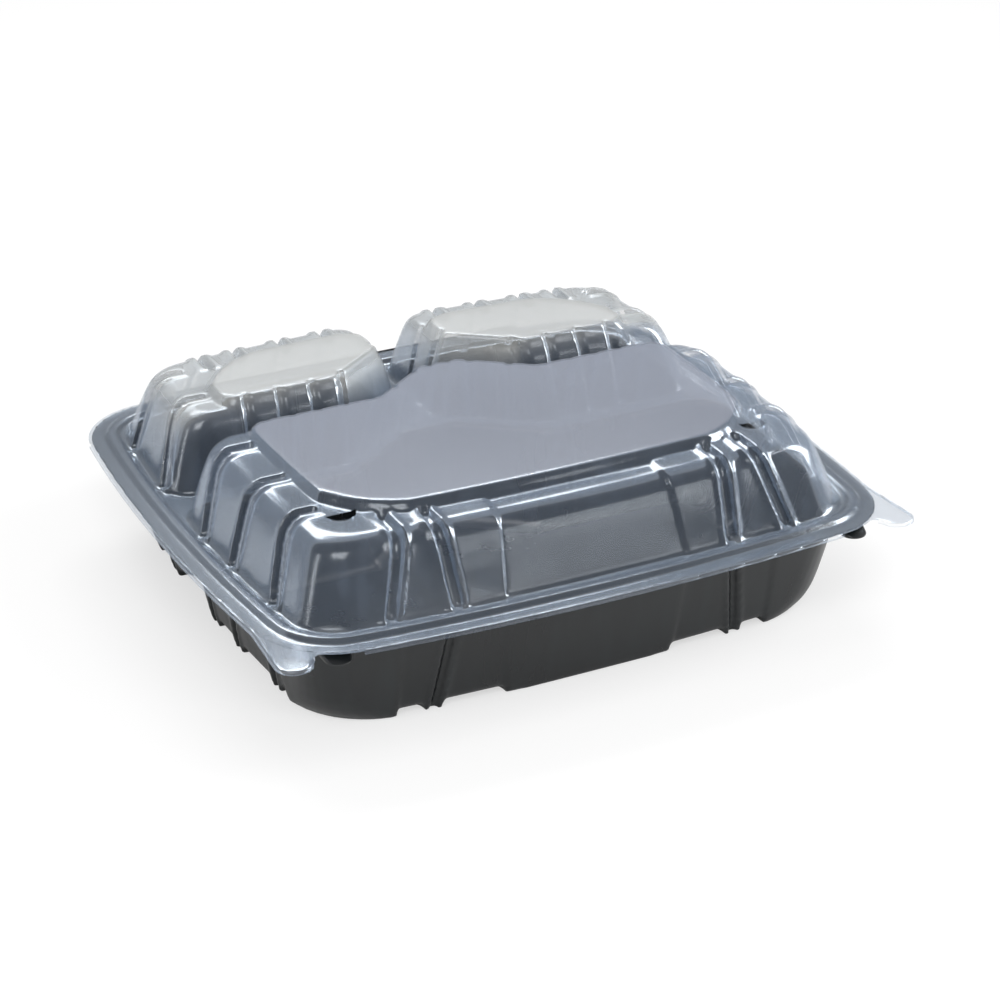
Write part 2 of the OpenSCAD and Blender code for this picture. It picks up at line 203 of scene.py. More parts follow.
@dataclass(frozen=True)
class Plan:
    """Sizes in plan and the outlines that follow from them, in millimetres."""

    width: float = 266.7
    depth: float = 241.3
    bow: float = 8.4
    corner_r: float = 33.0
    rim_width: float = 15.3
    valley_front: float = 16.0
    valley_back: float = 24.0
    mid_half: float = 6.0
    tongue_side: float = 39.5
    tongue_tip: float = 41.0
    tongue_root: float = -30.0
    rear_side: float = 45.5
    front_slope: float = 0.45
    rear_slope: float = 1.35
    slant: Point = (0.6, 0.8)
    bow_steps: int = 12
    bow_share: float = 0.72
    corner_bow: float = 0.87
    corner_segs: int = 8

    def half_x(self, y: float, inset: float) -> float:
        """Half width of the bowed outline at one depth, taken in by an inset."""
        return self.width / 2 - inset - self.bow * (y / (self.depth / 2)) ** 2

    def half_y(self, x: float, inset: float) -> float:
        """Half depth of the bowed outline at one width, taken in by an inset."""
        return self.depth / 2 - inset - self.bow * (x / (self.width / 2)) ** 2

    def corner_x(self, inset: float) -> float:
        """Half width at which two bowed sides would meet."""
        return self.half_x(self.depth / 2 - inset - self.bow * self.corner_bow, inset)

    def corner_y(self, inset: float) -> float:
        """Half depth at which two bowed sides would meet."""
        return self.half_y(self.corner_x(inset), inset)

    def rounded(self, corners: Corners) -> list[Point]:
        """Rounds the corners of a polygon.

        Args:
            corners: Each corner point with its radius.

        Returns:
            The points of the rounded polygon.
        """
        points: list[Point] = []
        for number, (corner, radius) in enumerate(corners):
            here = Vector(corner)
            if radius <= 0:
                points.append(corner)
                continue
            back = (Vector(corners[number - 1][0]) - here).normalized()
            ahead = (Vector(corners[(number + 1) % len(corners)][0]) - here).normalized()
            half = math.acos(max(-1.0, min(1.0, back.dot(ahead)))) / 2
            centre = here + (back + ahead).normalized() * radius / math.sin(half)
            first = here + back * radius / math.tan(half) - centre
            last = here + ahead * radius / math.tan(half) - centre
            turn = math.atan2(first.x * last.y - first.y * last.x, first.dot(last))
            for step in range(self.corner_segs + 1):
                angle = turn * step / self.corner_segs
                points.append((
                    centre.x + first.x * math.cos(angle) - first.y * math.sin(angle),
                    centre.y + first.x * math.sin(angle) + first.y * math.cos(angle),
                ))
        return points

    def shares(self) -> list[float]:
        """Places along a bowed side, as shares of half its length."""
        share, count = self.bow_share, self.bow_steps
        return [-share + 2 * share * step / count for step in range(count + 1)]

    def front_side(self, inset: float, start: float = -FAR) -> Corners:
        """Points of the side that faces the front, from left to right, past a start."""
        places = [share * self.corner_x(inset) for share in self.shares()]
        return [((x, -self.half_y(x, inset)), 0.0) for x in places if x > start]

    def right_side(self, inset: float, start: float = -FAR, end: float = FAR) -> Corners:
        """Points of the side that faces right, from front to rear, between two places."""
        places = [share * self.corner_y(inset) for share in self.shares()]
        return [((self.half_x(y, inset), y), 0.0) for y in places if start < y < end]

    @staticmethod
    def mirrored(corners: Corners) -> Corners:
        """Corners mirrored left to right, in the order of a closed outline."""
        return [((-x, y), r) for (x, y), r in reversed(corners)]

    @staticmethod
    def flipped(corners: Corners) -> Corners:
        """Corners mirrored front to rear, in the order of a closed outline."""
        return [((x, -y), r) for (x, y), r in reversed(corners)]

    def rim(self, inset: float) -> list[Point]:
        """Outline of the rim, taken in from the lip by an inset."""
        radius = self.corner_r - inset
        right = [((self.corner_x(inset), -self.corner_y(inset)), radius)]
        right += self.right_side(inset)
        right += [((self.corner_x(inset), self.corner_y(inset)), radius)]
        front = self.front_side(inset)
        return self.rounded(front + right + self.flipped(front) + self.mirrored(right))

    def compartment(self, kind: Compartment, step: Step) -> list[Point]:
        """Outline of a compartment at one level.

        Args:
            kind: The compartment; the rear one is the right one.
            step: Outer inset, valley inset, height, corner radius and valley corner radius.

        Returns:
            The points of the outline.
        """
        outer, valley, _, radius, valley_radius = step
        inset = self.rim_width + outer
        if kind is Compartment.FRONT:
            back = self.valley_front - valley * self.front_slope
            right = [((self.corner_x(inset), -self.corner_y(inset)), radius)]
            right += self.right_side(inset, end=back - valley_radius)
            right += [((self.half_x(back, inset), back), valley_radius)]
            return self.rounded(self.front_side(inset) + right + self.mirrored(right))
        if kind is Compartment.TONGUE:
            side, tip = self.tongue_side - valley, self.tongue_tip - valley
            across, along = self.slant
            right = [
                ((side / across, self.tongue_root), 0.0),
                ((side / across, 0.0), 0.0),
                (((side - along * tip) / across, tip), valley_radius / 2),
            ]
            return self.rounded(right + self.mirrored(right))
        front = self.valley_back + valley * self.rear_slope
        mid = self.mid_half + valley
        side = self.rear_side + valley
        across, along = self.slant
        return self.rounded(
            [(((side - along * front) / across, front), valley_radius / 2)]
            + [((self.half_x(front, inset), front), valley_radius)]
            + self.right_side(inset, start=front + valley_radius)
            + [((self.corner_x(inset), self.corner_y(inset)), radius)]
            + self.flipped(self.front_side(inset, start=mid + valley_radius))
            + [((mid, self.half_y(mid, inset)), valley_radius)]
            + [((mid, (side - across * mid) / along), valley_radius / 2)]
        )


@dataclass
class Former:
    """Shared ways in which the moulds of the base and the lid are made."""

    plan: Plan = field(default_factory=Plan)
    wall: float = 0.5
    seam_z: float = 43.2
    rim_gap: float = 0.3
    bead_in: float = 6.6
    bead_w: float = 7.4
    bead_h: float = 1.8
    groove_depth: float = 2.3
    groove_reach: float = 13.0
    groove_start: float = 12.0
    hinge_len: float = 160.0
    hinge_r: float = 0.6
    hinge_gap: float = 0.15
    grain: float = 0.8
    smoothing: int = 7
    faces: int = 92000
    mould_depth: float = 12.0

    @property
    def base_top(self) -> float:
        """Height of the upper face of the flat rim of the base."""
        return self.seam_z - self.rim_gap / 2

    @property
    def lid_under(self) -> float:
        """Height of the lower face of the flat rim of the lid."""
        return self.seam_z + self.rim_gap / 2

    @property
    def hinge_y(self) -> float:
        """Distance of the hinge axis behind the middle."""
        return self.plan.depth / 2 - self.hinge_r

    @property
    def foot(self) -> Point:
        """Places of the feet of the side walls and of the front and rear walls."""
        return self.plan.width / 2 - self.plan.rim_width, self.plan.depth / 2 - self.plan.rim_width

    @staticmethod
    def eased(steps: Sequence[Step], count: int = 5) -> list[Step]:
        """Fills a profile with in-between levels on a smooth curve.

        Args:
            steps: The levels of the profile.
            count: Levels made from each one to the next.

        Returns:
            The levels with those in between.
        """
        made: list[Step] = []
        for number in range(len(steps) - 1):
            before = steps[max(0, number - 1)]
            here, there = steps[number], steps[number + 1]
            after = steps[min(len(steps) - 1, number + 2)]
            for share in (k / count for k in range(count)):
                weights = (
                    (-share + 2 * share**2 - share**3) / 2,
                    (2 - 5 * share**2 + 3 * share**3) / 2,
                    (share + 4 * share**2 - 3 * share**3) / 2,
                    (share**3 - share**2) / 2,
                )
                knots = zip(before, here, there, after)
                made.append(tuple(sum(w * v for w, v in zip(weights, knot)) for knot in knots))
        return made + [steps[-1]]

    def stack(
        self,
        kind: Compartment,
        steps: Sequence[Step],
        side: Side = Side.RIGHT,
        inset: float = 0.0,
        lift: float = 0.0,
    ) -> Body:
        """A smooth body through all levels of a profile.

        Args:
            kind: The compartment.
            steps: The levels of its profile.
            side: Which of the two rear compartments it is.
            inset: How far the walls are taken in.
            lift: How far all levels but the first are lifted.

        Returns:
            The body.
        """
        rings = []
        for number, (outer, valley, z, radius, valley_radius) in enumerate(self.eased(steps)):
            points = self.plan.compartment(kind, (outer + inset, valley + inset, z, radius, valley_radius))
            rings.append([(side.value * x, y, z + (lift if number else 0.0)) for x, y in points])
        return Bench.hull(f"{kind.value}_body", rings)

    @staticmethod
    def both_sides(grooves: Sequence[Groove]) -> list[Groove]:
        """Grooves of the right half, and the same ones mirrored to the left half before them."""
        return [((s * a, b), (s * c, d), (s * e, f)) for s in (-1, 1) for (a, b), (c, d), (e, f) in grooves]

    def slab_ring(self, place: Point, way: Point, z: float, half: float, reach: float) -> Ring:
        """The four points of a groove slab at one height."""
        corners = [(-reach, -half), (-reach, half), (self.groove_start, half), (self.groove_start, -half)]
        return [
            (place[0] + way[0] * a - way[1] * b, place[1] + way[1] * a + way[0] * b, z) for a, b in corners
        ]

    def slabs(
        self, grooves: Sequence[Groove], low: float, high: float, side: Side, half: float, reach: float = 13.0
    ) -> list[Body]:
        """Leaning slabs along grooves, from the foot of the wall to its top.

        Args:
            grooves: Foot, top and facing way of each groove.
            low: Height of the feet.
            high: Height of the tops.
            side: Which half of the container they are in.
            half: Half width of a slab.
            reach: How far a slab reaches in from the wall.

        Returns:
            One body for each groove.
        """
        made = []
        for foot, top, way in grooves:
            rings = [
                self.slab_ring(foot, way, low, half, reach),
                self.slab_ring(top, way, high, half, reach),
            ]
            made.append(Bench.hull("slab", [[(side.value * x, y, z) for x, y, z in ring] for ring in rings]))
        return made

    def front_panel(self, widths: Point, low: float, high: float) -> Body:
        """The slab that sets the flat front panel apart, with its half widths at two heights."""
        place, way, reach = (0.0, -self.foot[1]), (0.0, -1.0), 2 * self.groove_reach
        ends = ((low, widths[0]), (high, widths[1]))
        return Bench.hull("panel", [self.slab_ring(place, way, z, half, reach) for z, half in ends])

    @staticmethod
    def prism(name: str, outline: Sequence[Point], low: float, high: float) -> Body:
        """An upright body around an outline, between two heights."""
        return Bench.hull(name, [[(x, y, z) for x, y in outline] for z in (low, high)])

    @staticmethod
    def box(low: Place, high: Place) -> Body:
        """An upright box between two corners."""
        outline = [(low[0], low[1]), (high[0], low[1]), (high[0], high[1]), (low[0], high[1])]
        return Former.prism("box", outline, low[2], high[2])

    @staticmethod
    def disc(centre: Point, radius: float, points: int = 32) -> list[Point]:
        """Points of a circle around a centre."""
        turns = [math.tau * number / points for number in range(points)]
        return [(centre[0] + radius * math.cos(a), centre[1] + radius * math.sin(a)) for a in turns]

    def bead(self, low: float, high: float) -> Body:
        """The raised bead that runs round the rim, from its foot to its top."""
        rise = high - low
        outer = [(self.bead_in, low), (self.bead_in + rise, high)]
        inner = [(self.bead_in + self.bead_w, low), (self.bead_in + self.bead_w - rise, high)]
        inner = [(inner[0][0] + 1, low - 1), (inner[1][0] - 1, high + 1)]
        bodies = [
            Bench.hull("bead", [[(x, y, z) for x, y in self.plan.rim(inset)] for inset, z in rings])
            for rings in (outer, inner)
        ]
        Bench.combine(bodies[0], bodies[1], Part.CUT)
        return bodies[0]

    def round_off(self, mould: Body) -> None:
        """Meshes a mould anew, with the soft edges that a heated sheet takes on it."""
        Bench.modify(mould, "REMESH", mode="VOXEL", voxel_size=self.grain * MM)
        Bench.modify(mould, "SMOOTH", factor=0.5, iterations=self.smoothing)

    def thin_out(self, skin: Body) -> None:
        """Lowers the number of faces where the skin is flat."""
        skin.data.calc_loop_triangles()
        Bench.modify(skin, "DECIMATE", ratio=min(1.0, self.faces / len(skin.data.loop_triangles)))

    def thicken(self, skin: Body) -> None:
        """Gives a skin the thickness of the sheet, inwards from its outer face."""
        Bench.modify(
            skin, "SOLIDIFY", thickness=self.wall * MM, offset=-1.0, use_even_offset=True, thickness_clamp=1.0
        )

    @staticmethod
    def shade(obj: Body) -> None:
        """Shades a sheet smoothly, with its cut edges sharp."""
        Bench.only(obj)
        bpy.ops.object.shade_smooth_by_angle(angle=math.radians(42))


@dataclass
class LidShell(Former):
    """The clear lid: rim with bead and skirt, two tabs, three domes and two vents."""

    full_h: float = 76.2
    ledge_drop: float = 3.7
    lip_in: float = 0.1
    skirt_h: float = 1.7
    skirt_end: float = 88.0
    tab_clear: float = 10.0
    tab_r: float = 7.0
    tab_blend: float = 8.0
    vent_r: float = 6.0
    vent_in: Point = (47.4, 53.6)
    tab_tip: Point = (27.0, 11.2)
    panel: Point = (38.0, 34.5)
    panel_depth: float = 1.0
    groove_half: float = 2.0
    rib_w: float = 2.2
    rib_h: float = 0.8
    valley_half: float = 1.5
    valley_depth: float = 1.4
    valley_reach: float = 7.0
    tab_side: Place = (6.6, -74.0, 1.5)
    tab_start: Point = (2.4, 1.8)
    skirt_cut: float = 8.0
    vent_cut: float = 9.0

    @property
    def lid_top(self) -> float:
        """Height of the upper face of the flat rim."""
        return self.lid_under + self.wall

    @property
    def ledge_z(self) -> float:
        """Height of the ledge round the flat tops."""
        return self.full_h - self.ledge_drop

    def lower_steps(self) -> list[Step]:
        """Levels of the fluted walls, from the foot up."""
        return [
            (0.0, 0.0, self.lid_under - 1, 18.0, 12.0),
            (8.0, 4.8, self.lid_under + 20, 16.0, 9.0),
            (12.0, 6.8, self.ledge_z - 2.6, 15.0, 8.0),
            (17.5, 8.4, self.ledge_z, 14.0, 7.0),
        ]

    def upper_steps(self) -> list[Step]:
        """Levels of the smooth step under the flat tops."""
        return [
            (25.6, 7.6, self.ledge_z - 3.4, 35.0, 8.0),
            (27.2, 8.6, self.full_h - 1.6, 35.0, 8.0),
            (29.4, 10.4, self.full_h, 34.0, 7.0),
        ]

    def front_grooves(self) -> list[Groove]:
        """Grooves of the outer walls of the front dome."""
        side_x, front_y = self.foot[0], -self.foot[1]
        return self.both_sides([
            ((83, front_y), (73, front_y + 20), (0, -1)),
            ((56.5, front_y), (58.5, front_y + 20), (0, -1)),
            ((side_x, -73), (side_x - 14, -60), (1, 0)),
            ((side_x, -38), (side_x - 14, -31), (1, 0)),
            ((side_x, -12), (side_x - 14, 0), (1, 0)),
        ])

    def front_valley_grooves(self) -> list[Groove]:
        """Grooves of the rear wall of the front dome."""
        y = self.plan.valley_front
        return self.both_sides([((x, y), (x, y - 4.5), (0, 1)) for x in (38, 49, 60, 71, 82)])

    def rear_grooves(self) -> list[Groove]:
        """Grooves of the outer walls of the right rear dome."""
        side_x, rear_y = self.foot
        return [
            ((side_x, 34), (side_x - 14, 50), (1, 0)),
            ((side_x, 74), (side_x - 14, 76), (1, 0)),
            ((88, rear_y), (80, rear_y - 19), (0, 1)),
            ((67, rear_y), (65, rear_y - 18), (0, 1)),
            ((46, rear_y), (45, rear_y - 18), (0, 1)),
            ((25, rear_y), (26, rear_y - 18), (0, 1)),
        ]

    def tongue_grooves(self) -> list[Groove]:
        """Grooves of the slanted sides and of the tip of the tongue."""
        tip, side, lean = self.plan.tongue_tip, self.plan.tongue_side, 9.0
        across, along = self.plan.slant
        made: list[Groove] = [((4, tip), (4, tip - lean), (0, 1))]
        for x in (18, 31):
            y = (side - across * x) / along
            made.append(((x, y), (x - across * lean, y - along * lean), (across, along)))
        return self.both_sides(made)

    def rear_valley_grooves(self) -> list[Groove]:
        """Grooves of the walls of the right rear dome that face the valleys."""
        y, mid = self.plan.valley_back, self.plan.mid_half
        return [
            ((82, y), (80, y + 13.5), (0, -1)),
            ((68, y), (66, y + 13.5), (0, -1)),
            ((54, y), (52, y + 13.5), (0, -1)),
            ((40, y + 4), (38, y + 17.5), (0, -1)),
            ((mid, 61), (mid + 10, 61), (-1, 0)),
            ((mid, 76), (mid + 10, 76), (-1, 0)),
        ]

    def dome(self, kind: Compartment, side: Side) -> Body:
        """One fluted dome over a compartment."""
        body = self.stack(kind, self.lower_steps(), side)
        tier = self.stack(kind, self.upper_steps(), side)
        Bench.combine(body, tier, Part.UNITE, keep=True)
        low = self.lid_under - 2
        if kind is not Compartment.TONGUE:
            outer = self.front_grooves() if kind is Compartment.FRONT else self.rear_grooves()
            ribs = Bench.join(self.slabs(outer, low, self.ledge_z + 1, side, self.groove_half + self.rib_w))
            shape = self.stack(kind, self.lower_steps(), side, -self.rib_h, self.rib_h)
            Bench.combine(ribs, shape, Part.COMMON)
            Bench.combine(body, ribs, Part.UNITE)
            cutter = Bench.join(self.slabs(outer, low, self.ledge_z + 1, side, self.groove_half))
            self.carve(body, cutter, kind, side, self.groove_depth, tier)
        if kind is Compartment.FRONT:
            panel = self.front_panel(self.panel, low, self.ledge_z + 1)
            self.carve(body, panel, kind, side, self.panel_depth, tier)
        bpy.data.objects.remove(tier, do_unlink=True)
        self.flute(body, kind, side)
        return body

    def carve(
        self,
        body: Body,
        cutter: Body,
        kind: Compartment,
        side: Side,
        depth: float,
        tier: Body,
    ) -> None:
        """Cuts the fluted walls of a dome to a depth, and leaves its upper step whole.

        Args:
            body: The dome.
            cutter: The slabs that mark the places.
            kind: The compartment under it.
            side: Which of the two rear ones it is.
            depth: Depth of the cut.
            tier: The upper step.
        """
        core = self.stack(kind, self.lower_steps(), side, depth, -depth)
        Bench.combine(cutter, core, Part.CUT)
        Bench.combine(cutter, tier, Part.CUT, keep=True)
        Bench.combine(body, cutter, Part.CUT)

    def flute(self, body: Body, kind: Compartment, side: Side) -> None:
        """Cuts the narrow grooves of a dome's valley walls, right up to the flat top."""
        grooves = {
            Compartment.FRONT: self.front_valley_grooves,
            Compartment.TONGUE: self.tongue_grooves,
            Compartment.REAR: self.rear_valley_grooves,
        }[kind]()
        low, high = self.lid_under - 2, self.full_h + 1
        cutter = Bench.join(self.slabs(grooves, low, high, side, self.valley_half, self.valley_reach))
        for steps in (self.lower_steps(), self.upper_steps()):
            Bench.combine(cutter, self.stack(kind, steps, side, self.valley_depth), Part.CUT)
        Bench.combine(body, cutter, Part.CUT)

    def mould(self) -> Body:
        """The solid that the lid is formed on, whose upper side is the lid's outer face."""
        low, half_d = self.lid_top - self.mould_depth, self.plan.depth / 2
        block = self.prism("lid_shell", self.plan.rim(self.lip_in), low, self.lid_top)
        lid_end = self.hinge_y - self.hinge_r - self.hinge_gap
        half_len = self.hinge_len / 2
        strip = self.box((-half_len, half_d - self.bead_in, low), (half_len, lid_end, self.lid_top))
        Bench.combine(block, strip, Part.UNITE)
        clear = half_len + self.hinge_gap
        behind = self.box((-clear, lid_end, low - 1), (clear, half_d + PAST, self.lid_top + 1))
        Bench.combine(block, behind, Part.CUT)
        for side in Side:
            Bench.combine(block, self.tab(side, low), Part.UNITE)
        Bench.combine(block, self.bead(self.lid_top - 0.3, self.lid_top + self.bead_h), Part.UNITE)
        for dome in [self.dome(kind, side) for kind, side in COMPARTMENTS]:
            Bench.combine(block, dome, Part.UNITE)
        return block

    def tab(self, side: Side, low: float) -> Body:
        """The block of one front tab, blended into the front lip, from a height up."""
        plan = self.plan
        middle = Vector((plan.corner_r - plan.corner_x(0), plan.corner_r - plan.corner_y(0)))
        tip = Vector((self.tab_start[0] - plan.width / 2, self.tab_start[1] - plan.depth / 2))
        tip += Vector((self.tab_r, self.tab_r))
        away = tip - middle
        outer, inner = plan.corner_r + self.tab_blend, self.tab_r + self.tab_blend
        along = (outer**2 - inner**2 + away.length**2) / 2 / away.length
        ahead = away.normalized()
        blend = middle + ahead * along + Vector((-ahead.y, ahead.x)) * math.sqrt(outer**2 - along**2)
        root = middle + (blend - middle).normalized() * (plan.corner_r - 1.5)
        in_x, side_y, side_r = self.tab_side
        outline = [
            point
            for x, y, radius in (
                (tip.x, tip.y, self.tab_r), (in_x - plan.width / 2, side_y, side_r), (root.x, root.y, 1.0)
            )
            for point in self.disc((side.value * x, y), radius)
        ]
        tab = self.prism("tab", outline, low, self.lid_top)
        hollow = self.disc((side.value * blend.x, blend.y), self.tab_blend)
        Bench.combine(tab, self.prism("hollow", hollow, low - 1, self.lid_top + 1), Part.CUT)
        return tab

    def build(self) -> Body:
        """Forms the lid over its mould and cuts its vents and its skirt."""
        lid = self.mould()
        self.round_off(lid)
        Bench.bisect(lid, self.lid_top - self.skirt_h, below=True)
        self.thin_out(lid)
        self.thicken(lid)
        half_w, half_d = self.plan.width / 2, self.plan.depth / 2
        low, high = self.seam_z - self.skirt_cut, self.lid_under - 0.02
        behind = self.box((-half_w, self.skirt_end, low), (half_w, half_d + PAST, high))
        Bench.combine(lid, behind, Part.CUT)
        for s in (-1, 1):
            tab = (s * (half_w - self.tab_tip[0]), -half_d + self.tab_tip[1])
            Bench.combine(lid, self.prism("clear", self.disc(tab, self.tab_clear), low, high), Part.CUT)
            vent = (s * (half_w - self.vent_in[0]), -half_d + self.vent_in[1])
            arc = [(x, y) for x, y in self.disc(vent, self.vent_r) if y <= vent[1] + 0.01]
            slot = self.prism("vent", arc, self.ledge_z - self.vent_cut, self.ledge_z + self.vent_cut)
            Bench.combine(lid, slot, Part.CUT)
        self.shade(lid)
        lid.name = "lid_shell"
        return lid


@dataclass
class BaseShell(Former):
    """The black base: rim with bead, two tabs, three tubs and the bead of the hinge."""

    smoothing: int = 12
    faces: int = 90000
    skirt_gap: float = 0.6
    groove_w: float = 3.2
    rib_w: float = 2.0
    corner_col: Point = (77.5, 66.0)
    corner_share: float = 0.9
    edge_w: float = 3.0
    root_r: float = 8.0
    tip_r: float = 5.0
    tab_drop: float = 3.4
    tab_root: Point = (28.0, 21.0)
    tab_tip: Point = (27.0, 11.2)
    panel: Point = (38.0, 34.5)

    def round_steps(self) -> list[Step]:
        """Levels of the columns, which have a round foot, from the rim down."""
        return [
            (0.0, 0.0, self.base_top + 1, 18.0, 12.0),
            (5.8, 4.6, 9.0, 24.0, 10.0),
            (9.0, 6.6, 2.8, 30.0, 9.0),
            (15.0, 10.0, 0.0, 32.0, 8.0),
        ]

    def sharp_steps(self) -> list[Step]:
        """Levels of the ribs and the front panel, which have a sharp foot, from the rim down."""
        return [
            (-0.3, -0.3, self.base_top + 1, 18.0, 12.0),
            (5.0, 3.6, 10.0, 24.0, 11.0),
            (7.4, 5.2, 0.0, 36.0, 10.0),
        ]

    def front_grooves(self) -> list[Groove]:
        """Grooves of the outer walls of the front tub."""
        side_x, front_y = self.foot[0], -self.foot[1]
        return self.both_sides([
            ((57, front_y), (63.5, front_y + 9), (0, -1)),
            ((side_x, -65), (side_x - 8, -56), (1, 0)),
            ((side_x, -31), (side_x - 8, -23), (1, 0)),
            ((side_x, -4), (side_x - 8, 0), (1, 0)),
        ])

    def valley_grooves(self) -> list[Groove]:
        """Grooves of the rear wall of the front tub."""
        y = self.plan.valley_front
        return self.both_sides([((x, y), (x, y - 5), (0, 1)) for x in (52, 80)])

    def rear_grooves(self) -> list[Groove]:
        """Grooves of the outer walls of the right rear tub."""
        side_x, rear_y = self.foot
        return [
            ((side_x, 44), (side_x - 8, 46), (1, 0)),
            ((60, rear_y), (58, rear_y - 9), (0, 1)),
            ((34, rear_y), (34, rear_y - 9), (0, 1)),
        ]

    def corner_blocks(self, kind: Compartment, side: Side, low: float, high: float) -> list[Body]:
        """Blocks round a tub's corner columns, whose sharp foot stands on the table."""
        (near_x, near_y), far_x, far_y = self.corner_col, self.plan.width / 2, self.plan.depth / 2
        made = []
        for s in (-1, 1) if kind is Compartment.FRONT else (side.value,):
            xs = sorted((s * near_x, s * far_x))
            ys = (-far_y, -near_y) if kind is Compartment.FRONT else (near_y, far_y)
            made.append(self.box((xs[0], ys[0], low), (xs[1], ys[1], high)))
        return made

    def tub(self, kind: Compartment, side: Side) -> Body:
        """One tub with round columns, narrow sharp ribs and grooves."""
        body = self.stack(kind, self.round_steps(), side)
        if kind is Compartment.TONGUE:
            return body
        front = kind is Compartment.FRONT
        outer = self.front_grooves() if front else self.rear_grooves()
        valley = self.valley_grooves() if front else []
        high, low = self.base_top + 2, -1.0
        sharp = [Bench.join(self.slabs(outer, high, low, side, self.groove_w / 2 + self.rib_w))]
        sharp += self.corner_blocks(kind, side, low, high)
        if front:
            sharp.append(self.front_panel(self.panel, high, low))
        for piece in sharp:
            Bench.combine(piece, self.stack(kind, self.sharp_steps(), side), Part.COMMON)
            Bench.combine(body, piece, Part.UNITE)
        cutter = Bench.join(self.slabs(list(outer) + list(valley), high, low, side, self.groove_w / 2))
        core = self.stack(kind, self.sharp_steps(), side, self.groove_depth)
        Bench.combine(cutter, core, Part.CUT)
        Bench.combine(body, cutter, Part.CUT)
        return body

    def mould(self) -> Body:
        """The solid whose lower side is the outer face of the base."""
        low, high = self.base_top - self.wall, self.base_top + self.mould_depth
        half_d, half_len = self.plan.depth / 2, self.hinge_len / 2
        block = self.prism("base_shell", self.plan.rim(self.skirt_gap + self.wall), low, high)
        strip = self.box((-half_len, half_d - self.bead_in, low), (half_len, self.hinge_y, high))
        Bench.combine(block, strip, Part.UNITE)
        Bench.combine(block, self.bead(low - 0.4, self.base_top + self.bead_h - self.wall), Part.CUT)
        for tub in [self.tub(kind, side) for kind, side in COMPARTMENTS]:
            Bench.combine(block, tub, Part.UNITE)
        return block

    def tabs(self) -> list[Body]:
        """The two tabs that dip below the rim of the lid, one flat body each."""
        made = []
        tip_z = self.base_top - self.tab_drop
        ends = ((self.tab_root, self.root_r, self.base_top), (self.tab_tip, self.tip_r, tip_z))
        for s in (-1, 1):
            rings = []
            for (in_x, in_y), radius, high in ends:
                centre = (s * (self.plan.width / 2 - in_x), -self.plan.depth / 2 + in_y)
                for z in (high, high - self.wall):
                    rings.append([(x, y, z) for x, y in self.disc(centre, radius)])
            made.append(Bench.hull("base_tab", rings))
        return made

    def hinge_bead(self) -> Body:
        """The round bead on the rear edge that the lid turns about."""
        bpy.ops.object.select_all(action="DESELECT")
        bpy.ops.mesh.primitive_cylinder_add(
            vertices=20,
            radius=self.hinge_r * MM,
            depth=self.hinge_len * MM,
            location=(0, self.hinge_y * MM, self.seam_z * MM),
            rotation=(0, math.pi / 2, 0),
        )
        bead = bpy.context.object
        bpy.ops.object.transform_apply(location=True, rotation=True, scale=True)
        Bench.modify(bead, "BEVEL", width=0.2 * MM, segments=2)
        return bead

    def build(self) -> Body:
        """Forms the base and joins its tabs and the bead of its hinge to it."""
        base = self.mould()
        self.round_off(base)
        Bench.bisect(base, self.base_top + 6, below=False)
        reach = self.skirt_gap + self.wall + self.edge_w
        outside = [
            face.index for face in base.data.polygons
            if abs(face.center.x) / MM > self.plan.half_x(face.center.y / MM, reach)
            or abs(face.center.y) / MM > self.plan.half_y(face.center.x / MM, reach)
            or self.past_corner(face.center.x / MM, face.center.y / MM, reach)
        ]
        Bench.bisect(base, self.base_top - 0.05, below=False, chosen=outside)
        self.thin_out(base)
        self.thicken(base)
        base = Bench.join([base] + self.tabs() + [self.hinge_bead()])
        self.shade(base)
        base.name = "base_shell"
        return base

    def past_corner(self, x: float, y: float, inset: float) -> bool:
        """Whether a place lies outside the round corner of the rim, taken in by an inset.

        The bowed sides meet at more than a right angle, so the middle of the corner's arc is nearer
        to its point.
        """
        radius = self.plan.corner_r - inset
        back = self.corner_share * radius
        corner = (self.plan.corner_x(inset) - back, self.plan.corner_y(inset) - back)
        away = (abs(x) - corner[0], abs(y) - corner[1])
        return away[0] > 0 and away[1] > 0 and math.hypot(*away) > radius


class Wire:
    """A shader value that can stand in sums and products."""

    def __init__(self, graph: "Graph", socket: bpy.types.NodeSocket) -> None:
        """Wraps a socket of a node graph."""
        self.graph = graph
        self.socket = socket

    def _join(self, kind: str, left: "Wire | float", right: "Wire | float") -> "Wire":
        """Adds one Math node and returns its value."""
        return self.graph.node("ShaderNodeMath", {"operation": kind}, {0: left, 1: right}).wire("Value")

    def __add__(self, other: "Wire | float") -> "Wire":
        """The sum with another value."""
        return self._join("ADD", self, other)

    def __radd__(self, other: float) -> "Wire":
        """The sum with a number on the left."""
        return self._join("ADD", other, self)

    def __rsub__(self, other: float) -> "Wire":
        """The difference of a number and this value."""
        return self._join("SUBTRACT", other, self)

    def __mul__(self, other: "Wire | float") -> "Wire":
        """The product with another value."""
        return self._join("MULTIPLY", self, other)

    def clamped(self, low: float = 0.0, high: float = 1.0) -> "Wire":
        """The value kept between two limits."""
        return self.graph.node("ShaderNodeClamp", {}, {"Value": self, "Min": low, "Max": high}).wire("Result")


class Handle:
    """A node of a graph whose outputs are taken by name."""

    def __init__(self, graph: "Graph", node: bpy.types.Node) -> None:
        """Wraps a node."""
        self.graph = graph
        self.node = node

    def wire(self, name: str) -> Wire:
        """The output with a name."""
        return Wire(self.graph, self.node.outputs[name])


